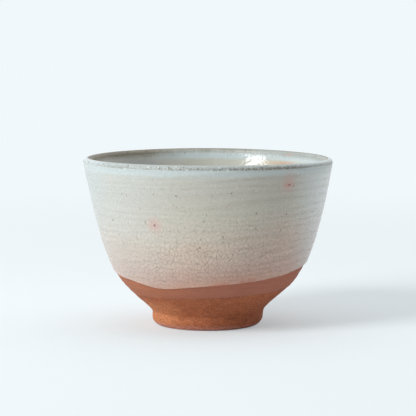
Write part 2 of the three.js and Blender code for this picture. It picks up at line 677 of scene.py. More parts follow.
@dataclass
class OuterGlaze(Coat):
    """The coat outside, from the crest of the lip down to the dipping line, with a bead at its edge."""

    name = "outer_glaze_coat"
    node = "outer_glaze"
    slot = "outer_glaze"
    wheel: Wheel = Wheel(360)
    step: float = 0.25 * MM
    line: DipLine = DipLine()
    line_points: int = 1441
    bead: float = 0.1 * MM
    bead_reach: float = 1.3 * MM
    edge_rounding: float = 0.45 * MM
    edge_steps: int = 7
    edge_fullness: float = 0.8

    def __post_init__(self) -> None:
        """Finds the line on the clay."""
        self.skin = self.form.outside()
        self.angles = np.linspace(-math.pi, math.pi, self.line_points)
        self.edge_runs = self.line.run_along(self.skin, self.angles)
        self.mean_run = float(self.edge_runs.mean())

    def section(self) -> Section:
        """Draws the coat in section.

        Returns:
            The closed section, whose runs are shares of the distance to the line.
        """
        shoulder = self.mean_run - self.edge_rounding
        front = self.front_runs(shoulder)
        swell = np.clip((front - self.mean_run + self.bead_reach) / self.bead_reach, 0, 1)
        turn = np.linspace(0, math.pi / 2, self.edge_steps)
        rounded = (self.form.glaze + self.bead) * np.cos(turn) ** self.edge_fullness
        lifts = np.concatenate([self.form.glaze + self.bead * swell**2, rounded])
        runs = np.concatenate([front, shoulder + self.edge_rounding * np.sin(turn)])
        shown = Section.on_skin(self.skin, runs, lifts)
        radius, height, run, lift = shown.then(self.back(self.skin, self.mean_run)).closed().rows
        return Section(np.stack([radius, height, run / self.mean_run, lift]))

    def work(self, cloud: Cloud) -> Marks:
        """Lays each vertex where its share of the way to the line puts it.

        Args:
            cloud: the coat's vertices.

        Returns:
            Their distances from the lip and from the line, and where they lie on the spiral.
        """
        edge = np.interp(cloud.azimuth, self.angles, self.edge_runs)
        run = cloud.run * edge
        cloud.radius, cloud.height = self.skin.place(run, cloud.lift + self.marks.lift(cloud.azimuth, run))
        cloud.height += self.marks.rise(cloud.azimuth, run)
        ridge = self.marks.ridge(cloud.azimuth, run)
        return {Mark.FROM_LIP: run / MM, Mark.FROM_EDGE: (edge - run) / MM, Mark.RIDGE: ridge}


@dataclass
class InnerGlaze(Coat):
    """The coat inside, from the crest of the lip over the floor, pooled a little in the middle."""

    name = "inner_glaze_coat"
    node = "inner_glaze"
    slot = "inner_glaze"
    pool: float = 0.3 * MM
    pool_radius: float = 12 * MM
    mark_share: float = 0.4
    calm_run: float = 14 * MM

    def __post_init__(self) -> None:
        """Draws the clay that the coat lies on."""
        self.skin = self.form.inside()

    def section(self) -> Section:
        """Draws the coat in section.

        Returns:
            The section, from the axis under the glaze to the crest and back over it.
        """
        end = self.skin.length
        over = Section.on_skin(self.skin, np.append(self.front_runs(end), end), self.form.glaze)
        drawn = self.back(self.skin, end).then(over)
        drawn.rows[0, [0, -1]] = 0  # both ends lie on the axis
        return drawn

    def work(self, cloud: Cloud) -> Marks:
        """Lays each vertex over the thrown inside.

        Args:
            cloud: the coat's vertices.

        Returns:
            Their distance from the lip.
        """
        settle = np.clip(cloud.radius / self.pool_radius, 0, 1)
        shown = settle * np.clip((cloud.run - self.calm_run) / self.calm_run, 0, 1)
        lift = cloud.lift + self.mark_share * shown * self.marks.lift(cloud.azimuth + math.pi, cloud.run)
        pooled = np.where(cloud.lift > 0, self.pool * (1 - settle**2) ** 2, 0)
        radius, height = self.skin.place(cloud.run, lift + pooled)
        cloud.radius = np.where(cloud.radius < WELD, 0, radius)
        cloud.height = height + self.marks.rise(cloud.azimuth, cloud.run)
        return {Mark.FROM_LIP: cloud.run / MM}


@dataclass
class ClayBody(Piece):
    """The thrown bowl: smooth under the glaze line, turned below it, and turned underneath."""

    name = "thrown_clay_body"
    node = "bowl_body"
    slot = "clay"
    marks: ThrowingMarks = ThrowingMarks()
    zone: TurnedZone = TurnedZone()
    step: float = 0.2 * MM
    hidden_step: float = 2 * MM
    shown_height: float = 33 * MM
    skin_depth: float = 0.1 * MM
    recess_step: float = 0.4 * MM
    nub_radius: float = 5 * MM
    nub_depth: float = 0.45 * MM
    spiral_pitch: float = 1.6 * MM
    spiral_depth: float = 0.04 * MM
    neck_fill: float = 0.25 * MM
    neck_reach: float = 1.2 * MM

    def section(self) -> Section:
        """Draws the body in section.

        Returns:
            The section, from the middle of the underside round to the middle of the floor.
        """
        outside, inside = self.form.outside(), self.form.inside()
        shown_run = float(np.interp(-self.shown_height, -outside.height, outside.run))
        shown = np.arange(outside.length, shown_run, -self.step)
        hidden = np.arange(shown_run, 0, -self.hidden_step)
        outer = Section.on_skin(outside, np.concatenate([shown, hidden]))
        inner_run = np.append(np.arange(0, inside.length, self.hidden_step), inside.length)
        inner = Section.on_skin(inside, inner_run)
        inner.rows[0, -1] = 0  # the end lies on the axis
        recess = np.arange(0, self.form.recess_radius + self.recess_step, self.recess_step)
        underside = Section.free(np.stack([recess, np.full_like(recess, self.form.foot_height)], axis=1))
        return underside.then(outer, inner)

    def work(self, cloud: Cloud) -> Marks:
        """Marks the outside below the glaze, and the underside within the foot ring.

        Args:
            cloud: the body's vertices.

        Returns:
            How far each vertex was turned, and how far it lies in the scored line.
        """
        outside, zone, foot_height = self.form.outside(), self.zone, self.form.foot_height
        underneath = cloud.height < foot_height + HAIR
        outer = (cloud.height < self.shown_height) & ~underneath
        outer &= cloud.radius > np.interp(-cloud.height, -outside.height, outside.radius) - self.skin_depth
        throw = self.marks.lift(cloud.azimuth, cloud.run)
        rough = zone.grit.over(cloud)
        turned = np.clip(zone.below(cloud) / MM, 0, 1)
        neck = self.neck_fill * np.exp((foot_height - cloud.height) / self.neck_reach)
        lift = throw * (1 - turned) - zone.cut(cloud) + rough * turned + neck
        radius, height = outside.place(cloud.run, lift)
        cloud.radius = np.where(outer, radius, cloud.radius)
        ring = spiral(cloud.azimuth, cloud.radius, self.spiral_pitch)
        ring *= np.clip(cloud.radius / self.nub_radius, 0, 1)
        nub = self.nub_depth * np.exp(-((cloud.radius / self.nub_radius) ** 2))
        in_recess = underneath & (cloud.radius < self.form.recess_radius)
        dressed = cloud.height - nub + self.spiral_depth * ring + rough
        worked = np.where(outer, np.clip(zone.below(cloud) / zone.groove_width, 0, 1), 1)
        groove = np.where(outer, zone.scored(cloud), 0)
        cloud.height = np.where(outer, height, np.where(in_recess, dressed, cloud.height))
        return {Mark.TURNED: worked, Mark.GROOVE: groove}


@dataclass
class FootRing(Piece):
    """The ring that the bowl stands on, turned, with a rounded edge and a worn flat."""

    name = "turned_foot_ring"
    node = "foot_ring"
    slot = "foot_clay"
    step: float = 0.18 * MM
    fine_grit: Grit = Grit(0.7 * MM, 0.045 * MM, 1.7)
    coarse_grit: Grit = Grit(1.75 * MM, 0.027 * MM, 9.2)
    upright_grit: float = 0.5
    ring_pitch: float = 1.1 * MM
    ring_depth: float = 0.03 * MM
    mean_ring: float = 0.6
    rings: Wander = Wander(2, MM, 3.3, 1.0)
    taper: float = 0.25 * MM
    neck_flare: float = 0.3 * MM
    neck_height: float = 1.8 * MM
    lean: float = 0.6 * MM
    lean_curve: float = 1.5

    def section(self) -> Section:
        """Draws the ring in section.

        Returns:
            The closed section, round from the top of the recess.
        """
        form, radius = self.form, self.form.foot_radius
        flat_start, flat_end = form.recess_radius + form.foot_chamfer, form.land_outer_radius
        recess = [(form.recess_radius, form.foot_height), (form.recess_radius, form.foot_chamfer)]
        arc_steps = round(math.pi / 2 * form.foot_rounding / self.step)
        turn = np.linspace(-math.pi / 2, 0, arc_steps, endpoint=False)
        arc = np.stack([np.cos(turn), 1 + np.sin(turn)], axis=1) * form.foot_rounding + (flat_end, 0)
        below = self._between(*recess, (flat_start, 0), (flat_end, 0))
        wall = [(radius, form.foot_rounding), (radius, form.foot_height)]
        return Section.free(np.concatenate([below, arc, self._between(*wall), wall[-1:]])).closed()

    def _between(self, *corners: tuple[float, float]) -> np.ndarray:
        """Draws even points from corner to corner.

        Args:
            corners: radius and height of each corner.

        Returns:
            Radius and height of each point, without the last corner.
        """
        lines = []
        for start, end in zip(corners, corners[1:]):
            count = max(1, round(math.dist(start, end) / self.step))
            lines.append(np.linspace(start, end, count, endpoint=False))
        return np.concatenate(lines)

    def work(self, cloud: Cloud) -> Marks:
        """Tapers, rings and roughens the outside, and leaves the flat flat.

        Args:
            cloud: the ring's vertices.

        Returns:
            That all of it was turned.
        """
        form = self.form
        down = 1 - np.clip(cloud.height / form.foot_height, 0, 1)
        outer = np.clip((cloud.radius - form.land_outer_radius) / form.foot_rounding, 0, 1)
        rough = self.fine_grit.over(cloud) + self.coarse_grit.over(cloud)
        rings = self.ring_depth * spiral(cloud.azimuth, cloud.height, self.ring_pitch)
        rings *= self.mean_ring + self.rings.at(cloud.azimuth, cloud.height)
        top = cloud.height > form.foot_height - HAIR
        fixed = top | (cloud.height < HAIR)
        neck = np.clip((cloud.height - form.foot_height) / self.neck_height + 1, 0, 1) ** 2
        lean = self.lean * np.cos(cloud.azimuth) * down**self.lean_curve
        worked = np.where(top, 0, rough + rings) - self.taper * down**2 + self.neck_flare * neck - lean
        cloud.radius += outer * worked
        cloud.height = np.where(fixed, cloud.height, np.maximum(cloud.height + self.upright_grit * rough, 0))
        return {Mark.TURNED: np.ones_like(cloud.radius)}


# Shader nodes


Triple = tuple[float, float, float]
Tint = tuple[float, float, float, float]
Stops = tuple[tuple[float, Tint], ...]
Term = "float | Triple | Link"


def operator(operation: str, reflected: bool = False) -> Callable[..., "Link"]:
    """Makes a link's method for one of Python's operators.

    Args:
        operation: Blender's name for the sum.
        reflected: whether the link is the second term.

    Returns:
        The method.
    """

    def method(self: "Link", *others: Term) -> "Link":
        """Adds the maths node and gives its result."""
        terms = (*others, self) if reflected else (self, *others)
        return self.sheet.maths(operation, *terms)

    return method


@dataclass(frozen=True)
class Link:
    """A shader node's output, on which Python's operators build further nodes."""

    sheet: "Sheet"
    socket: bpy.types.NodeSocket

    __add__, __radd__ = operator("ADD"), operator("ADD", reflected=True)
    __sub__, __rsub__ = operator("SUBTRACT"), operator("SUBTRACT", reflected=True)
    __mul__, __rmul__ = operator("MULTIPLY"), operator("MULTIPLY", reflected=True)
    __truediv__, __rtruediv__ = operator("DIVIDE"), operator("DIVIDE", reflected=True)
    __pow__ = operator("POWER")
    __abs__ = operator("ABSOLUTE")
    least, most = operator("MINIMUM"), operator("MAXIMUM")

    def __neg__(self) -> "Link":
        """The value with its sign changed."""
        return self * -1.0

    def part(self, name: str) -> "Link":
        """One of a vector's parts: X, Y or Z."""
        return self.sheet.node("ShaderNodeSeparateXYZ", inputs={0: self}).out(name)

    def ramp(self, start: float, end: float) -> "Link":
        """Eases from 0 at one value to 1 at another.

        Args:
            start: the value that gives 0, which may be the higher.
            end: the value that gives 1.

        Returns:
            The eased value.
        """
        low, high = sorted((start, end))
        settings = {"interpolation_type": "SMOOTHSTEP"}
        inputs = {"Value": self, "From Min": low, "From Max": high}
        inputs |= {"To Min": float(start > end), "To Max": float(start < end)}
        return self.sheet.node("ShaderNodeMapRange", settings, inputs).out("Result")

    def tinted(self, stops: Stops) -> "Link":
        """Colours the value.

        Args:
            stops: values in rising order, each with its colour.

        Returns:
            The colour.
        """
        low, high = stops[0][0], stops[-1][0]
        shares = [((place - low) / (high - low), colour) for place, colour in stops]
        share = (self - low) / (high - low)
        return self.sheet.node("ShaderNodeValToRGB", {"stops": shares}, {0: share}).out("Color")


@dataclass(frozen=True)
class Node:
    """A shader node on its sheet."""

    sheet: "Sheet"
    node: bpy.types.Node

    def out(self, name: int | str) -> Link:
        """One of the node's outputs."""
        return Link(self.sheet, self.node.outputs[name])


@dataclass(frozen=True)
class Grain:
    """A soft chance pattern: the size of its swells, a seed that moves it, and its number of finer layers."""

    size: float | Triple
    seed: float
    detail: float = 2.0


@dataclass(frozen=True)
class Specks:
    """Small chance spots, of which each cell of a given spacing holds one or none."""

    spacing: float
    size: float  # radius of the largest
    share: float  # of cells with a spot
    seed: float


@dataclass(frozen=True)
class Wash:
    """A tint that comes in as a value goes from one number to another."""

    tint: Tint
    strength: float
    start: float
    end: float


@dataclass(frozen=True)
class Blemish:
    """A marked spot on a piece, with a halo or without."""

    spot: Vector
    core: float
    halo: float = 0.0
    squeeze: float = 1.0  # how many times lower than wide it is
    strength: float = 0.45


class Sheet:
    """The node tree of one material or world, and the colour laid on it so far."""

    def __init__(self, block: bpy.types.Material | bpy.types.World) -> None:
        """Takes a data block and clears its tree.

        Args:
            block: the material or world.
        """
        block.use_nodes = True
        self.block, self.tree = block, block.node_tree
        self.tree.nodes.clear()
        self.colour: Link | Tint = (0.0, 0.0, 0.0, 1.0)

    def node(
        self,
        kind: str,
        settings: dict[str, object] | None = None,
        inputs: dict[int | str, object] | None = None,
    ) -> Node:
        """Adds a node.

        Args:
            kind: the node's type.
            settings: its properties, which are set before its sockets are filled.
            inputs: a value or a link for each socket, by name or number.

        Returns:
            The node.
        """
        node = self.tree.nodes.new(kind)
        for name, setting in (settings or {}).items():
            if name == "stops":
                self._set_stops(node.color_ramp.elements, setting)
            else:
                setattr(node, name, setting)
        for name, value in (inputs or {}).items():
            if isinstance(value, Link):
                self.tree.links.new(value.socket, node.inputs[name])
            else:
                node.inputs[name].default_value = value
        return Node(self, node)

    def _set_stops(self, elements: bpy.types.ColorRampElements, stops: Stops) -> None:
        """Sets a ramp's stops.

        Args:
            elements: the ramp's own two.
            stops: places from 0 to 1, each with its colour.
        """
        elements.remove(elements[1])
        elements[0].position, elements[0].color = stops[0]
        for place, colour in stops[1:]:
            elements.new(place).color = colour

    def maths(self, operation: str, *terms: Term) -> Link:
        """Adds a maths node, for vectors if one of the links isn't a plain value.

        Args:
            operation: Blender's name for the sum.
            terms: what it works on.

        Returns:
            The result.
        """
        links = [term for term in terms if isinstance(term, Link)]
        plain = all(link.socket.type == "VALUE" for link in links)
        kind = "ShaderNodeMath" if plain else "ShaderNodeVectorMath"
        return self.node(kind, {"operation": operation}, dict(enumerate(terms))).out(0)

    @cached_property
    def place(self) -> Link:
        """The place on the piece, in millimetres."""
        return self.node("ShaderNodeTexCoord").out("Object") * ((1 / MM,) * 3)

    def attribute(self, mark: Mark) -> Link:
        """What the piece's vertices carry."""
        return self.node("ShaderNodeAttribute", {"attribute_name": mark.value}).out("Fac")

    def mix(self, share: Term, first: Link | Tint, second: Link | Tint, blend: str = "MIX") -> Link:
        """Mixes a share of the second colour into the first, in the way that the blend names."""
        settings = {"data_type": "RGBA", "blend_type": blend}
        return self.node("ShaderNodeMix", settings, {0: share, 6: first, 7: second}).out(2)

    def lay(self, share: Term, colour: Link | Tint) -> None:
        """Lays a share of a colour over what is there."""
        self.colour = self.mix(share, self.colour, colour)

    def wash(self, value: Link, wash: Wash, share: Term = 1.0) -> None:
        """Lays a wash where a value calls for it, or a share of it."""
        self.lay(wash.strength * share * value.ramp(wash.start, wash.end), wash.tint)

    def tone(self, factor: Link) -> None:
        """Makes the colour darker or lighter by a factor near 1."""
        grey = self.node("ShaderNodeCombineColor", inputs={0: factor, 1: factor, 2: factor}).out(0)
        self.colour = self.mix(1.0, self.colour, grey, "MULTIPLY")

    def cloud(self, grain: Grain) -> Link:
        """Reads a soft chance pattern.

        Args:
            grain: the pattern.

        Returns:
            Its value, about 0 and mostly within 1 of it.
        """
        sizes = grain.size if isinstance(grain.size, tuple) else (grain.size,) * 3
        spot = self.place * tuple(1 / size for size in sizes) + (grain.seed, -grain.seed, 2 * grain.seed)
        inputs = {"Vector": spot, "Scale": 1.0, "Detail": grain.detail, "Roughness": 0.55}
        return (self.node("ShaderNodeTexNoise", inputs=inputs).out("Fac") - 0.5) * 4

    def warped(self, grain: float, reach: float, flat: Link | None = None) -> Link:
        """Shifts a place by chance, to make lines wander.

        Args:
            grain: size of the swells in the shift.
            reach: how far the shift goes.
            flat: what is shifted instead of the place on the piece.

        Returns:
            The shifted place.
        """
        inputs = {"Vector": self.place, "Scale": 1 / grain, "Detail": 1.0}
        shift = self.node("ShaderNodeTexNoise", inputs=inputs).out("Color") + (-0.5, -0.5, -0.5)
        return (flat or self.place) + shift * ((2 * reach,) * 3)

    def unrolled(self, down: Link, radius: float) -> tuple[Link, Link]:
        """Unrolls the wall.

        Args:
            down: the distance down the wall.
            radius: the radius at which it is unrolled.

        Returns:
            The place on the flat, and how far it is from the join at the back.
        """
        around = self.maths("ARCTAN2", self.place.part("X"), -self.place.part("Y")) * radius
        flat = self.node("ShaderNodeCombineXYZ", inputs={0: around, 1: down}).out(0)
        return flat, math.pi * radius - abs(around)

    def net(self, place: Link, cell: tuple[float, ...]) -> Link:
        """Draws a net of uneven cells.

        Args:
            place: where the pattern is read.
            cell: size of a cell along each of the two or three axes.

        Returns:
            The distance from the nearest line of the net, as a share of a cell.
        """
        settings = {"feature": "DISTANCE_TO_EDGE", "voronoi_dimensions": f"{len(cell)}D"}
        spot = place * (*(1 / size for size in cell), 0.0)[:3]
        return self.node("ShaderNodeTexVoronoi", settings, {"Vector": spot, "Scale": 1.0}).out("Distance")

    def specks(self, specks: Specks, place: Link | None = None) -> Link:
        """Scatters small spots.

        Args:
            specks: the pattern.
            place: where it is read, if not at the place on the piece.

        Returns:
            1 inside a spot and 0 elsewhere, with a soft edge.
        """
        spot = (place or self.place) * ((1 / specks.spacing,) * 3) + ((specks.seed,) * 3)
        cells = self.node("ShaderNodeTexVoronoi", {"feature": "F1"}, {"Vector": spot, "Scale": 1.0})
        chosen = self.node("ShaderNodeSeparateColor", inputs={0: cells.out("Color")}).out(0)
        radius = (chosen - (1 - specks.share)).most(0.0) * (specks.size / specks.spacing / specks.share)
        soft_edge = 0.35 * specks.size
        return ((radius - cells.out("Distance")) * (specks.spacing / soft_edge) + 0.5).most(0.0).least(1.0)

    def near(self, blemish: Blemish) -> Link:
        """Measures the distance from a blemish.

        Args:
            blemish: the marked spot.

        Returns:
            The distance, in which a height counts more where the mark is to come out flat.
        """
        spot, squeeze = blemish.spot, blemish.squeeze
        inputs = {0: self.place * (1.0, 1.0, squeeze), 1: (spot.x, spot.y, spot.z * squeeze)}
        return self.node("ShaderNodeVectorMath", {"operation": "DISTANCE"}, inputs).out("Value")

    def ceramic(self, roughness: Link, height: Link, gloss: float = 0.5) -> None:
        """Puts a plain ceramic shader with the laid colour on the surface.

        Args:
            roughness: how matt it is.
            height: its fine relief, in millimetres.
            gloss: the strength of its reflection, of which 0.5 is that of glass.
        """
        relief = self.node("ShaderNodeBump", inputs={"Strength": 1.0, "Distance": MM, "Height": height})
        inputs = {"Base Color": self.colour, "Roughness": roughness, "Normal": relief.out("Normal")}
        inputs["Specular IOR Level"] = gloss
        self.surface(self.node("ShaderNodeBsdfPrincipled", inputs=inputs).out(0))

    def surface(self, shader: Link, output: str = "ShaderNodeOutputMaterial") -> None:
        """Puts a shader on the surface."""
        self.node(output, inputs={"Surface": shader})


# Finishes


def linear(part: int) -> float:
    """A colour's red, green or blue, written in the usual 0 to 255, as the shaders take it."""
    share = part / 255
    return share / 12.92 if share <= 0.04045 else ((share + 0.055) / 1.055) ** 2.4


def tint(red: int, green: int, blue: int) -> Tint:
    """A colour whose parts are written in the usual 0 to 255, as the shaders take it."""
    return (linear(red), linear(green), linear(blue), 1.0)


def stops(*rows: tuple[float, int, int, int]) -> Stops:
    """The stops of a gradient, from rows of a value and the red, green and blue of its colour."""
    return tuple((value, tint(*parts)) for value, *parts in rows)


@dataclass(frozen=True)
class OutsideGlaze:
    """Pale grey-green glaze that burned pinkish where it is thin, with crackle, halos and iron specks."""

    form: BowlForm
    body: Stops = stops(
        (0.0, 180, 132, 113), (0.8, 186, 148, 130), (2.2, 185, 150, 134), (4.0, 184, 154, 139),
        (6.0, 185, 158, 145), (8.5, 185, 161, 149), (12.0, 187, 169, 157), (16.5, 188, 174, 161),
        (21.0, 188, 176, 162), (25.0, 187, 180, 168), (29.0, 185, 181, 170), (36.0, 181, 180, 169),
        (44.0, 176, 176, 167), (52.0, 175, 177, 169),
    )
    blotch: Grain = Grain((9.0, 9.0, 6.0), 3.0)
    streak: Grain = Grain((14.0, 14.0, 0.9), 8.0)
    fine: Grain = Grain(0.8, 5.0, 3.0)
    runs: Grain = Grain((0.9, 0.9, 7.0), 19.0)
    swell: Grain = Grain((2.2, 2.2, 1.5), 47.0)
    bare: Grain = Grain(9.0, 44.0)
    lip_bump: Grain = Grain(0.7, 21.0)
    # Painted light: a pale painted sheen of the lamp over the left side, then a painted reflection of the
    # bright surround along the left edge.
    left_sheen: Wash = Wash(tint(180, 186, 184), 0.65, -8.0, -46.0)
    left_edge_reflection: Wash = Wash(tint(170, 186, 189), 0.6, -44.0, -58.0)
    warm: Wash = Wash(tint(190, 168, 158), 0.45, 12.0, 38.0)
    # Painted reflection of the bright surround along the right edge.
    right_edge_reflection: Wash = Wash(tint(204, 216, 219), 0.9, 34.0, 58.0)
    pink: Wash = Wash(tint(194, 160, 150), 0.2, 0.3, 1.4)
    pink_patch: Grain = Grain(6.0, 12.0)
    green: Wash = Wash(tint(172, 181, 164), 0.25, 0.3, 1.4)
    green_patch: Grain = Grain(7.0, 17.0)
    under_lip: Wash = Wash(tint(179, 192, 193), 0.85, 7.2, 4.2)
    band_edge: Grain = Grain((1.4, 1.4, 3.0), 18.0)
    crease: Tint = tint(104, 92, 80)
    cell: tuple[float, float] = (1.75, 2.5)
    unrolled_radius: float = 45.0
    stroke: Grain = Grain((0.9, 0.9, 1.5), 31.0)
    crackle_patch: Grain = Grain(5.0, 33.0)
    pinhole: Tint = tint(96, 90, 74)
    strokes: Specks = Specks(1.7, 0.42, 0.8, 52.0)
    stroke_patch: Grain = Grain(8.0, 58.0)
    thin: Tint = tint(150, 132, 106)
    holes: Specks = Specks(1.6, 0.42, 0.8, 53.0)
    row: Grain = Grain(5.0, 59.0)
    iron: Tint = tint(92, 86, 74)
    faint_iron: Specks = Specks(4.2, 0.42, 0.6, 2.0)
    strong_iron: Specks = Specks(7.5, 0.34, 0.4, 9.0)
    halo: Tint = tint(194, 146, 137)
    core: Tint = tint(84, 58, 62)
    spot_edge: Grain = Grain(1.2, 14.0)
    lip_grey: Tint = tint(160, 169, 167)
    lip_brown: Tint = tint(106, 92, 68)
    lip_pale: Tint = tint(174, 183, 181)
    # Painted reflection of the bright surround on the lip's left and right ends.
    lip_edge_reflection: Tint = tint(212, 226, 230)
    # Painted highlight: near-white glints on the lip.
    glint: Tint = tint(230, 236, 234)
    lip_ragged: Grain = Grain(0.8, 27.0)
    lip_fleck: Grain = Grain((0.9, 0.9, 0.6), 28.0)
    lip_patch: Grain = Grain(9.0, 41.0)
    lip_dots: Specks = Specks(1.1, 0.5, 0.75, 61.0)
    lip_glints: Specks = Specks(1.3, 0.5, 0.6, 62.0)
    # Azimuth in degrees and height, then the core's radius, the halo's, the squeeze and the halo's strength
    halos: tuple[tuple[float, ...], ...] = (
        (-116.4, 53.0, 0.65, 6.2, 1.0, 0.5), (-50.8, 72.3, 0.0, 7.4, 0.9, 0.45),
        (-51.6, 71.0, 0.0, 4.0, 3.0, 0.5), (-50.6, 71.3, 0.8, 3.0, 1.8, 0.5),
        (-47.9, 70.7, 0.55, 1.4, 1.6, 0.4), (38.0, 61.0, 0.5, 5.0, 1.0, 0.5),
        (121.0, 47.0, 0.55, 4.4, 1.2, 0.5),
    )
    large_specks: tuple[tuple[float, ...], ...] = (
        (-79.6, 68.4, 0.4), (-79.2, 67.2, 0.35), (-115.4, 67.6, 0.4), (-104.5, 67.1, 0.45),
        (-50.0, 57.6, 0.5), (-94.0, 43.0, 0.45), (-44.9, 29.7, 0.4), (-66.9, 58.8, 0.4),
        (-133.4, 66.9, 0.4), (-128.2, 46.6, 0.35), (74.0, 69.0, 0.4), (158.0, 58.0, 0.45),
    )

    def material(self) -> bpy.types.Material:
        """Builds the finish.

        Returns:
            The material.
        """
        sheet = Sheet(bpy.data.materials.new("outside_glaze"))
        lip, edge, ridge = map(sheet.attribute, (Mark.FROM_LIP, Mark.FROM_EDGE, Mark.RIDGE))
        blotch, streak, fine, swell = map(sheet.cloud, (self.blotch, self.streak, self.fine, self.swell))
        runs = sheet.cloud(self.runs) * edge.ramp(6.0, 1.0)
        sheet.colour = (edge + 2.0 * blotch + 0.4 * fine + 0.5 * runs).tinted(self.body)
        self._washes(sheet, lip, edge, blotch)
        right = sheet.place.part("X").ramp(-25.0, 25.0)
        bare = (ridge + 0.6 * streak).ramp(0.0, 1.4) * sheet.cloud(self.bare).ramp(-0.6, 0.6)
        sheet.lay((0.08 + 0.14 * right) * bare, self.thin)
        lines, bulge = self._crackle(sheet, lip, edge)
        tone = 1 + 0.03 * streak + 0.05 * fine + 0.035 * bulge + 0.05 * runs + 0.02 * swell
        sheet.tone(tone - (0.004 + 0.02 * right) * ridge)
        sheet.lay(0.47 * lines, self.crease)
        self._pinholes(sheet, lip, edge, ridge)
        self._spots(sheet, lip)
        self._lip(sheet, lip)
        on_lip = lip.ramp(3.5, 2.0)
        relief = 0.025 * bulge - 0.055 * lines + 0.01 * fine + 0.02 * streak + 0.02 * swell
        roughness = 0.26 + 0.03 * fine + 0.08 * lines + 0.08 * on_lip
        sheet.ceramic(roughness, relief + sheet.cloud(self.lip_bump) * 0.09 * on_lip)
        return sheet.block

    def _washes(self, sheet: Sheet, lip: Link, edge: Link, blotch: Link) -> None:
        """Lays the broad washes of pink and green, the white ones that paint a sheen and reflections at the
        sides, and the pale band under the lip.

        Args:
            sheet: the material's sheet.
            lip: distance from the lip.
            edge: distance from the glaze line.
            blotch: the pattern that makes the band uneven.
        """
        side, low = sheet.place.part("X"), edge.ramp(38.0, 14.0)
        # The first two washes here and the fourth paint light: a sheen on the left and reflections along both
        # edges.
        sheet.wash(side, self.left_sheen, 1 - 0.308 * low)
        sheet.wash(side, self.left_edge_reflection)
        sheet.wash(side, self.warm, low)
        sheet.wash(side, self.right_edge_reflection)
        sheet.wash(sheet.cloud(self.pink_patch), self.pink)
        sheet.wash(sheet.cloud(self.green_patch), self.green)
        sheet.wash(lip + 0.5 * blotch + 0.4 * sheet.cloud(self.band_edge), self.under_lip)

    def _crackle(self, sheet: Sheet, lip: Link, edge: Link) -> tuple[Link, Link]:
        """Draws the net of fine creases, and the low bulges between them.

        Args:
            sheet: the material's sheet.
            lip: distance from the lip.
            edge: distance from the glaze line.

        Returns:
            The creases, 1 in the middle of one, and the bulges, from -1 to 1.
        """
        flat, from_join = sheet.unrolled(lip, self.unrolled_radius)
        gap = sheet.net(sheet.warped(1.2, 0.65, flat), self.cell)
        rise = edge.ramp(15.0, 44.0)
        broken = 0.3 * (1 - rise) + 0.7 * (sheet.cloud(self.stroke) - 0.6 * rise).ramp(-0.1, 0.5)
        patch = 0.75 + 0.25 * sheet.cloud(self.crackle_patch).ramp(-0.7, 0.7)
        middle = 1 - 0.3 * abs(sheet.place.part("X") - 4).ramp(22.0, 46.0)
        zone = edge.ramp(1.2, 4.0) * (1 - edge.ramp(38.0, 50.0)) * patch * middle * from_join.ramp(0.0, 0.5)
        lines = gap.ramp(0.14, 0.05) * broken * zone
        return lines.least(1.0), (gap.ramp(0.0, 0.3) * 2 - 1) * zone * (1 - 0.6 * rise)

    def _pinholes(self, sheet: Sheet, lip: Link, edge: Link, ridge: Link) -> None:
        """Lays the short dark strokes of the upper wall, and the brown pinholes along the throwing ridges.

        Args:
            sheet: the material's sheet.
            lip: distance from the lip.
            edge: distance from the glaze line.
            ridge: where the wall lies on the throwing spiral.
        """
        upper = edge.ramp(14.0, 24.0) * lip.ramp(5.0, 12.0)
        strokes = sheet.specks(self.strokes, sheet.warped(3.0, 1.2) * (1.0, 1.0, 0.45))
        patch = 0.3 + 0.7 * sheet.cloud(self.stroke_patch).ramp(-0.8, 0.8)
        sheet.lay((0.14 + 0.34 * lip.ramp(12.0, 24.0)) * strokes * upper * patch, self.pinhole)
        rows = (ridge + 0.6 * sheet.cloud(self.row)).ramp(-0.1, 0.9)
        sheet.lay(0.5 * sheet.specks(self.holes) * rows * upper, self.thin)

    def _blemishes(self) -> Iterator[Blemish]:
        """Places the halos and the larger specks on the glaze.

        Yields:
            Each of them.
        """
        skin = self.form.outside()
        radius, height = skin.place(skin.run, np.full_like(skin.run, self.form.glaze))
        for azimuth, level, *sizes in (*self.halos, *self.large_specks):
            out = float(np.interp(-level * MM, -height, radius)) / MM
            angle = azimuth * DEGREE
            yield Blemish(Vector((out * math.cos(angle), out * math.sin(angle), level)), *sizes)

    def _spots(self, sheet: Sheet, lip: Link) -> None:
        """Lays the iron specks and the blemishes with their halos.

        Args:
            sheet: the material's sheet.
            lip: distance from the lip.
        """
        sheet.lay(0.4 * sheet.specks(self.faint_iron) * lip.ramp(4.0, 8.0), self.iron)
        sheet.lay(0.7 * sheet.specks(self.strong_iron), self.iron)
        ragged = 0.35 * sheet.cloud(self.spot_edge)
        for blemish in self._blemishes():
            away = sheet.near(blemish)
            if blemish.halo:
                halo = (away + 1.4 * ragged).ramp(blemish.halo, 0.0) ** 1.3
                sheet.lay(blemish.strength * halo, self.halo)
            if blemish.core:
                core = (away + 0.5 * ragged).ramp(1.3 * blemish.core, 0.3 * blemish.core)
                sheet.lay(0.75 * core, self.core if blemish.halo else self.iron)

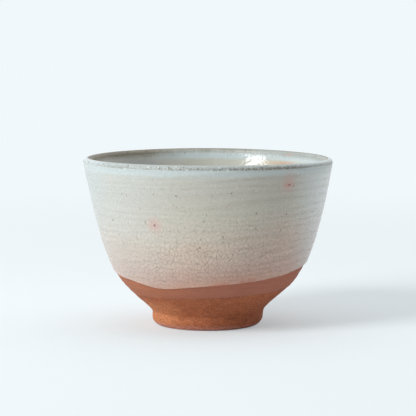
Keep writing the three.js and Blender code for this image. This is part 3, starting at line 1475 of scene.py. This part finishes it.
    def _lip(self, sheet: Sheet, lip: Link) -> None:
        """Thins the glaze over the lip, where the brown clay shows through its shoulder in specks, with a
        painted reflection at its ends and painted glints.

        Args:
            sheet: the material's sheet.
            lip: distance from the lip.
        """
        ragged, fleck, patch = map(sheet.cloud, (self.lip_ragged, self.lip_fleck, self.lip_patch))
        side = sheet.place.part("X")
        right, left = ((side + 6 * patch).ramp(*span) for span in ((0.0, 36.0), (-8.0, -30.0)))
        far_right, far_left = side.ramp(36.0, 52.0), side.ramp(-42.0, -56.0)
        shoulder = (lip + 0.3 * fleck).ramp(2.9, 2.2) * (1 - 0.6 * far_right)
        # At the far ends the lip takes a painted reflection in pale blue.
        sheet.lay(shoulder, sheet.mix(0.45 * far_left, self.lip_grey, self.lip_edge_reflection))
        crest = sheet.mix((far_right + 0.6 * far_left).least(1.0), self.lip_pale, self.lip_edge_reflection)
        sheet.lay(0.85 * (lip + 0.3 * ragged - 0.3 * far_right).ramp(1.4, 0.8), crest)
        shown = lip.ramp(0.7, 1.0) * lip.ramp(3.1, 2.5) * (1 - 0.7 * far_right)
        sheet.lay(0.7 * sheet.specks(self.lip_dots) * shown, self.pinhole)
        # Painted highlights: small near-white glints among the dark dots on the lip.
        sheet.lay(0.6 * sheet.specks(self.lip_glints) * shown, self.glint)
        off = abs(lip - 1.95 + 0.3 * fleck) + 0.2 * far_right
        worn = off.ramp(0.65, 0.15) * (ragged + 0.45 * right + 0.1 * left).ramp(-0.05, 0.55)
        sheet.lay((0.68 - 0.3 * left) * (1 - 0.5 * far_right) * worn, self.lip_brown)


@dataclass(frozen=True)
class InsideGlaze:
    """The glaze inside, glossier, with a thin brown rim, a pale band under it and a warmer wall below."""

    rim: Stops = stops(
        (0.0, 172, 172, 164), (0.55, 124, 120, 108), (0.95, 148, 147, 138), (1.5, 172, 176, 168),
        (2.1, 180, 188, 184), (2.8, 197, 208, 210), (4.4, 198, 212, 216), (5.2, 196, 206, 204),
        (6.2, 193, 195, 186), (16.0, 193, 193, 183), (45.0, 186, 182, 164), (75.0, 174, 178, 158),
    )
    left_rim: Stops = stops(
        (0.0, 160, 158, 148), (0.5, 116, 110, 96), (1.0, 138, 132, 119), (1.6, 148, 145, 131),
        (2.4, 157, 154, 141), (3.3, 180, 179, 171), (4.4, 199, 203, 201), (6.4, 199, 203, 203),
        (16.0, 184, 181, 168), (45.0, 186, 182, 164), (75.0, 174, 178, 158),
    )
    ragged: Grain = Grain(0.9, 6.0)
    drip: Grain = Grain((0.8, 0.8, 4.0), 16.0)
    blotch: Grain = Grain(7.0, 9.0)
    rim_bump: Grain = Grain(0.9, 21.0)
    dimple: Grain = Grain(1.7, 23.0, 0.0)
    iron: Tint = tint(104, 88, 62)
    crumbs: Specks = Specks(1.3, 0.5, 0.7, 63.0)
    specks: Specks = Specks(4.4, 0.5, 0.45, 7.0)
    dusk: Tint = tint(158, 164, 160)
    crease: Tint = tint(120, 112, 92)
    cell: Triple = (2.6, 2.6, 3.2)
    beige: Tint = tint(200, 182, 158)
    ember: Blemish = Blemish(Vector((34.0, 45.0, 74.2)), 4.0, 11.0, 4.0, 0.6)
    flush: Tint = tint(202, 160, 140)
    flushes: tuple[Blemish, ...] = (
        Blemish(Vector((42.5, 38.0, 74.4)), 2.85, 9.5, 4.5, 0.6),
        Blemish(Vector((36.0, 43.0, 74.2)), 1.95, 6.5, 4.5, 0.35),
        Blemish(Vector((43.0, 40.0, 79.2)), 1.5, 5.0, 4.5, 0.3),
    )

    def material(self) -> bpy.types.Material:
        """Builds the finish.

        Returns:
            The material.
        """
        sheet = Sheet(bpy.data.materials.new("inside_glaze"))
        lip, side = sheet.attribute(Mark.FROM_LIP), sheet.place.part("X")
        ragged, drip, blotch = map(sheet.cloud, (self.ragged, self.drip, self.blotch))
        left = (side + 3 * blotch).ramp(-10.0, -34.0)
        right = (side + 3 * blotch).ramp(8.0, 34.0) * lip.ramp(0.35, 0.9)
        uneven = lip + 0.12 * ragged + 0.15 * drip + 0.25 * blotch + 0.5 * right
        sheet.colour = sheet.mix(left, uneven.tinted(self.rim), uneven.tinted(self.left_rim))
        sheet.lay(0.45 * sheet.specks(self.crumbs) * lip.ramp(4.4, 2.6), self.iron)
        sheet.lay(0.8 * right * (lip + 0.5 * ragged).ramp(5.0, 1.5), self.dusk)
        glow = (sheet.near(self.ember) + 1.5 * blotch).ramp(self.ember.halo, self.ember.core)
        sheet.lay(self.ember.strength * glow, self.beige)
        for flush in self.flushes:
            away = sheet.near(flush) + 1.5 * blotch + 0.6 * ragged
            sheet.lay(flush.strength * away.ramp(flush.halo, flush.core), self.flush)
        gap = sheet.net(sheet.warped(2.2, 1.0), self.cell)
        lines = gap.ramp(0.08, 0.02) * lip.ramp(12.0, 30.0) * blotch.ramp(-0.8, 0.6)
        sheet.lay(0.5 * lines, self.crease)
        sheet.lay(0.7 * sheet.specks(self.specks), self.iron)
        sheet.tone(1 + 0.03 * ragged + 0.03 * blotch + 0.03 * drip)
        bump = sheet.cloud(self.rim_bump) * 0.04 * lip.ramp(3.5, 1.5)
        dimples = (0.01 + 0.016 * lip.ramp(16.0, 8.0)) * sheet.cloud(self.dimple)
        roughness = 0.15 + 0.02 * ragged + 0.3 * lip.ramp(3.8, 2.6)
        sheet.ceramic(roughness, 0.01 * ragged - 0.03 * lines + bump + dimples)
        return sheet.block


@dataclass(frozen=True)
class FiredClay:
    """Iron-bearing stoneware clay: smooth and pinkish as thrown, gritty and orange where it was turned."""

    name: str
    smooth: Tint = tint(161, 105, 86)
    smooth_left: Wash = Wash(tint(164, 106, 79), 1.0, 10.0, -30.0)
    smooth_dark: Wash = Wash(tint(151, 95, 75), 0.6, 0.0, 1.3)
    turned: Tint = tint(160, 95, 63)
    turned_dark: Wash = Wash(tint(144, 82, 50), 0.8, 0.0, 1.3)
    # Painted light: lighter orange on the lower turned clay on the left, where the lamp falls.
    painted_light_left: Tint = tint(178, 115, 76)
    # Pinker and lighter at the foot's bottom edge: partly the clay's own colour, partly painted light on the
    # rounded edge.
    foot_pink_and_light: Tint = tint(180, 124, 108)
    # Painted shade, laid in the scored groove and in the neck crease.
    groove: Tint = tint(84, 48, 32)
    grit_dark: Tint = tint(84, 46, 28)
    # Pale grit, which on the foot's lit left also serves as painted glints.
    pale_grit_and_glint: Tint = tint(224, 188, 166)
    grain: Grain = Grain(0.6, 4.0, 3.0)
    streak: Grain = Grain((5.0, 5.0, 0.4), 9.0)
    scratch: Grain = Grain((2.2, 2.2, 0.4), 29.0)
    patch: Grain = Grain((7.0, 7.0, 3.5), 15.0)
    crumb: Grain = Grain((1.0, 1.0, 0.6), 39.0)
    dark_specks: Specks = Specks(1.5, 0.42, 0.6, 3.0)
    pale_specks: Specks = Specks(1.2, 0.45, 0.6, 6.0)
    gloss: float = 0.25
    # Painted shade: a dark dash and two dark spots on the foot ring just under the neck, in the crease below
    # the bowl.
    neck_shades: tuple[Blemish, ...] = (
        Blemish(Vector((10.5, -24.65, 6.0)), 3.4, squeeze=7.0),
        Blemish(Vector((17.9, -19.9, 4.3)), 0.9, squeeze=0.5),
        Blemish(Vector((2.05, -26.7, 6.6)), 0.65),
    )

    def material(self) -> bpy.types.Material:
        """Builds the finish.

        Returns:
            The material.
        """
        sheet = Sheet(bpy.data.materials.new(self.name))
        worked, groove = sheet.attribute(Mark.TURNED), sheet.attribute(Mark.GROOVE)
        side, height = sheet.place.part("X"), sheet.place.part("Z")
        grain, streak, scratch, patch = map(sheet.cloud, (self.grain, self.streak, self.scratch, self.patch))
        sheet.colour = self.smooth
        sheet.wash(side, self.smooth_left)
        sheet.wash(patch + 0.5 * streak, self.smooth_dark)
        smooth, sheet.colour = sheet.colour, self.turned
        sheet.wash(patch + 0.5 * scratch, self.turned_dark)
        # Painted light on the left of the lower turned clay.
        sheet.lay((side + 4 * patch).ramp(-4.0, -24.0) * (height + patch).ramp(16.0, 10.0), self.painted_light_left)
        foot = (height + 0.4 * patch).ramp(2.9, 1.5)
        # Partly clay colour, partly painted light on the foot's bottom edge.
        sheet.lay(0.9 * foot, self.foot_pink_and_light)
        sheet.colour = sheet.mix(worked, smooth, sheet.colour)
        # Painted shade in the scored groove, broken by chance.
        sheet.lay(0.9 * groove * sheet.cloud(self.crumb).ramp(-0.4, 0.6), self.groove)
        # Painted shade in the crease where the bowl meets the foot ring.
        for neck_shade in self.neck_shades:
            away = sheet.near(neck_shade) + 0.2 * neck_shade.core * grain
            sheet.lay(neck_shade.strength * away.ramp(1.2 * neck_shade.core, 0.3 * neck_shade.core), self.groove)
        sheet.lay((0.12 + 0.4 * worked) * sheet.specks(self.dark_specks), self.grit_dark)
        # Pale grains over the turned clay, far more on the foot's left: real grit, with painted glints where
        # the lamp falls.
        grit_and_glints = sheet.specks(self.pale_specks) * (0.15 + 0.85 * foot * side.ramp(10.0, -6.0))
        sheet.lay(0.8 * worked * grit_and_glints, self.pale_grit_and_glint)
        sheet.tone(1 + (0.1 + 0.32 * worked) * grain + 0.09 * streak + 0.22 * worked * scratch)
        relief = 0.04 * grain * (0.2 + worked) + 0.04 * scratch * worked + 0.01 * streak
        sheet.ceramic(0.75 + 0.04 * grain, relief, self.gloss)
        return sheet.block


# Studio


@dataclass
class Studio:
    """A pale floor, one soft window lamp from the front left, and a white sweep behind and above."""

    paper: Tint = (0.871, 0.939, 0.965, 1.0)
    floor_seen: Tint = (0.765, 0.82, 0.845, 1.0)
    floor_white: Tint = (0.85, 0.85, 0.85, 1.0)
    plain_white: Tint = (1.0, 1.0, 1.0, 1.0)
    floor_size: float = 8.0
    floor_glow: float = 0.37
    fade_start: float = 0.18
    fade_end: float = 0.8
    fade_front: float = 0.1
    near_shade: float = 0.08
    near_reach: float = 0.25
    lamp_distance: float = 2.5
    lamp_bearing: float = 217.5 * DEGREE
    lamp_elevation: float = 30 * DEGREE
    lamp_width: float = 0.88
    lamp_height: float = 1.34
    lamp_power: float = 61.0
    sweep_white: float = 0.9
    room_dim: float = 0.05
    sweep_edge: tuple[float, float] = (-0.25, 0.45)
    sweep_lean: float = 0.6
    sweep_side: float = 0.15
    camera_distance: float = 880 * MM
    camera_height: float = 141.85 * MM
    camera_pitch: float = 5.558 * DEGREE
    focal_length: float = 158.3
    sensor_width: float = 36.0

    def build(self) -> None:
        """Adds the floor, the lamp, the surround and the camera."""
        for part in (self._floor, self._lamp, self._surround, self._camera):
            part()

    def _floor(self) -> None:
        """Adds the pale paper that the bowl stands on, which fades into the backdrop far away."""
        bpy.ops.object.select_all(action="DESELECT")
        bpy.ops.mesh.primitive_plane_add(size=self.floor_size)
        floor = bpy.context.object
        floor.name = "paper_floor"
        sheet = Sheet(bpy.data.materials.new("paper"))
        seen = sheet.node("ShaderNodeLightPath").out("Is Camera Ray")
        place = sheet.node("ShaderNodeTexCoord").out("Object")
        sheet.colour = self.floor_seen
        sheet.tone(1 - self.near_shade * place.part("Y").ramp(0.0, -self.near_reach))
        shade = sheet.mix(seen, self.floor_white, sheet.colour)
        paper = sheet.node("ShaderNodeBsdfDiffuse", inputs={"Color": shade})
        glow = sheet.node("ShaderNodeEmission", inputs={"Color": self.paper, "Strength": 1.0})
        away = sheet.node("ShaderNodeVectorMath", {"operation": "LENGTH"}, {0: place}).out("Value")
        far = away.ramp(self.fade_start, self.fade_end) * place.part("Y").ramp(-self.fade_front, 0.0)
        share = seen * (self.floor_glow + (1 - self.floor_glow) * far)
        blend = sheet.node("ShaderNodeMixShader", inputs={0: share, 1: paper.out(0), 2: glow.out(0)})
        sheet.surface(blend.out(0))
        floor.data.materials.append(sheet.block)

    def _lamp(self) -> None:
        """Adds the window lamp, aimed at the bowl."""
        level = math.cos(self.lamp_elevation)
        east, north = level * math.cos(self.lamp_bearing), level * math.sin(self.lamp_bearing)
        away = Vector((east, north, math.sin(self.lamp_elevation)))
        data = bpy.data.lights.new("window", "AREA")
        data.shape = "RECTANGLE"
        data.size, data.size_y = self.lamp_width, self.lamp_height
        data.energy = self.lamp_power
        self._put(data, away * self.lamp_distance, away.to_track_quat("Z", "Y").to_euler())

    def _surround(self) -> None:
        """Adds the white sweep and the dim room in front of it, paper white where the camera looks."""
        world = bpy.data.worlds.new("surround")
        bpy.context.scene.world = world
        sheet = Sheet(world)
        look = sheet.node("ShaderNodeTexCoord").out("Generated")
        lean = look.part("Y") + self.sweep_lean * look.part("Z")
        sweep = lean.ramp(*self.sweep_edge) * (1 + self.sweep_side * look.part("X"))
        light = self.room_dim + self.sweep_white * sweep
        seen = sheet.node("ShaderNodeLightPath").out("Is Camera Ray")
        strength = light + seen * (1 - light)
        inputs = {"Color": sheet.mix(seen, self.plain_white, self.paper), "Strength": strength}
        sheet.surface(sheet.node("ShaderNodeBackground", inputs=inputs).out(0), "ShaderNodeOutputWorld")

    def _camera(self) -> None:
        """Adds the camera at the photograph's place."""
        data = bpy.data.cameras.new("camera")
        data.lens = self.focal_length
        data.sensor_width = self.sensor_width
        data.sensor_fit = "HORIZONTAL"
        place = Vector((0, -self.camera_distance, self.camera_height))
        bpy.context.scene.camera = self._put(data, place, Euler((math.pi / 2 - self.camera_pitch, 0, 0)))

    def _put(self, data: bpy.types.Light | bpy.types.Camera, place: Vector, turn: Euler) -> bpy.types.Object:
        """Puts a lamp or a camera in the scene.

        Args:
            data: the lamp or camera, whose name the object takes.
            place: where it stands.
            turn: which way it looks.

        Returns:
            The object.
        """
        made = bpy.data.objects.new(data.name, data)
        made.location, made.rotation_euler = place, turn
        bpy.context.scene.collection.objects.link(made)
        return made


def main() -> None:
    """Builds the bowl piece by piece, then the studio round it."""
    bpy.context.scene.view_settings.view_transform = "Standard"
    form = BowlForm.of_frame()
    pieces = (
        (ClayBody(form), FiredClay("thrown_clay")),
        (FootRing(form), FiredClay("foot_clay")),
        (OuterGlaze(form), OutsideGlaze(form)),
        (InnerGlaze(form), InsideGlaze()),
    )
    for piece, finish in pieces:
        mesh = piece.build()
        piece.dress(mesh, finish.material())
        log.info("%s: %d vertices, for node %s", mesh.name, len(mesh.data.vertices), piece.node)
    Studio().build()


if __name__ == "__main__":
    logging.basicConfig(level=logging.INFO, format="%(name)s: %(message)s")
    main()
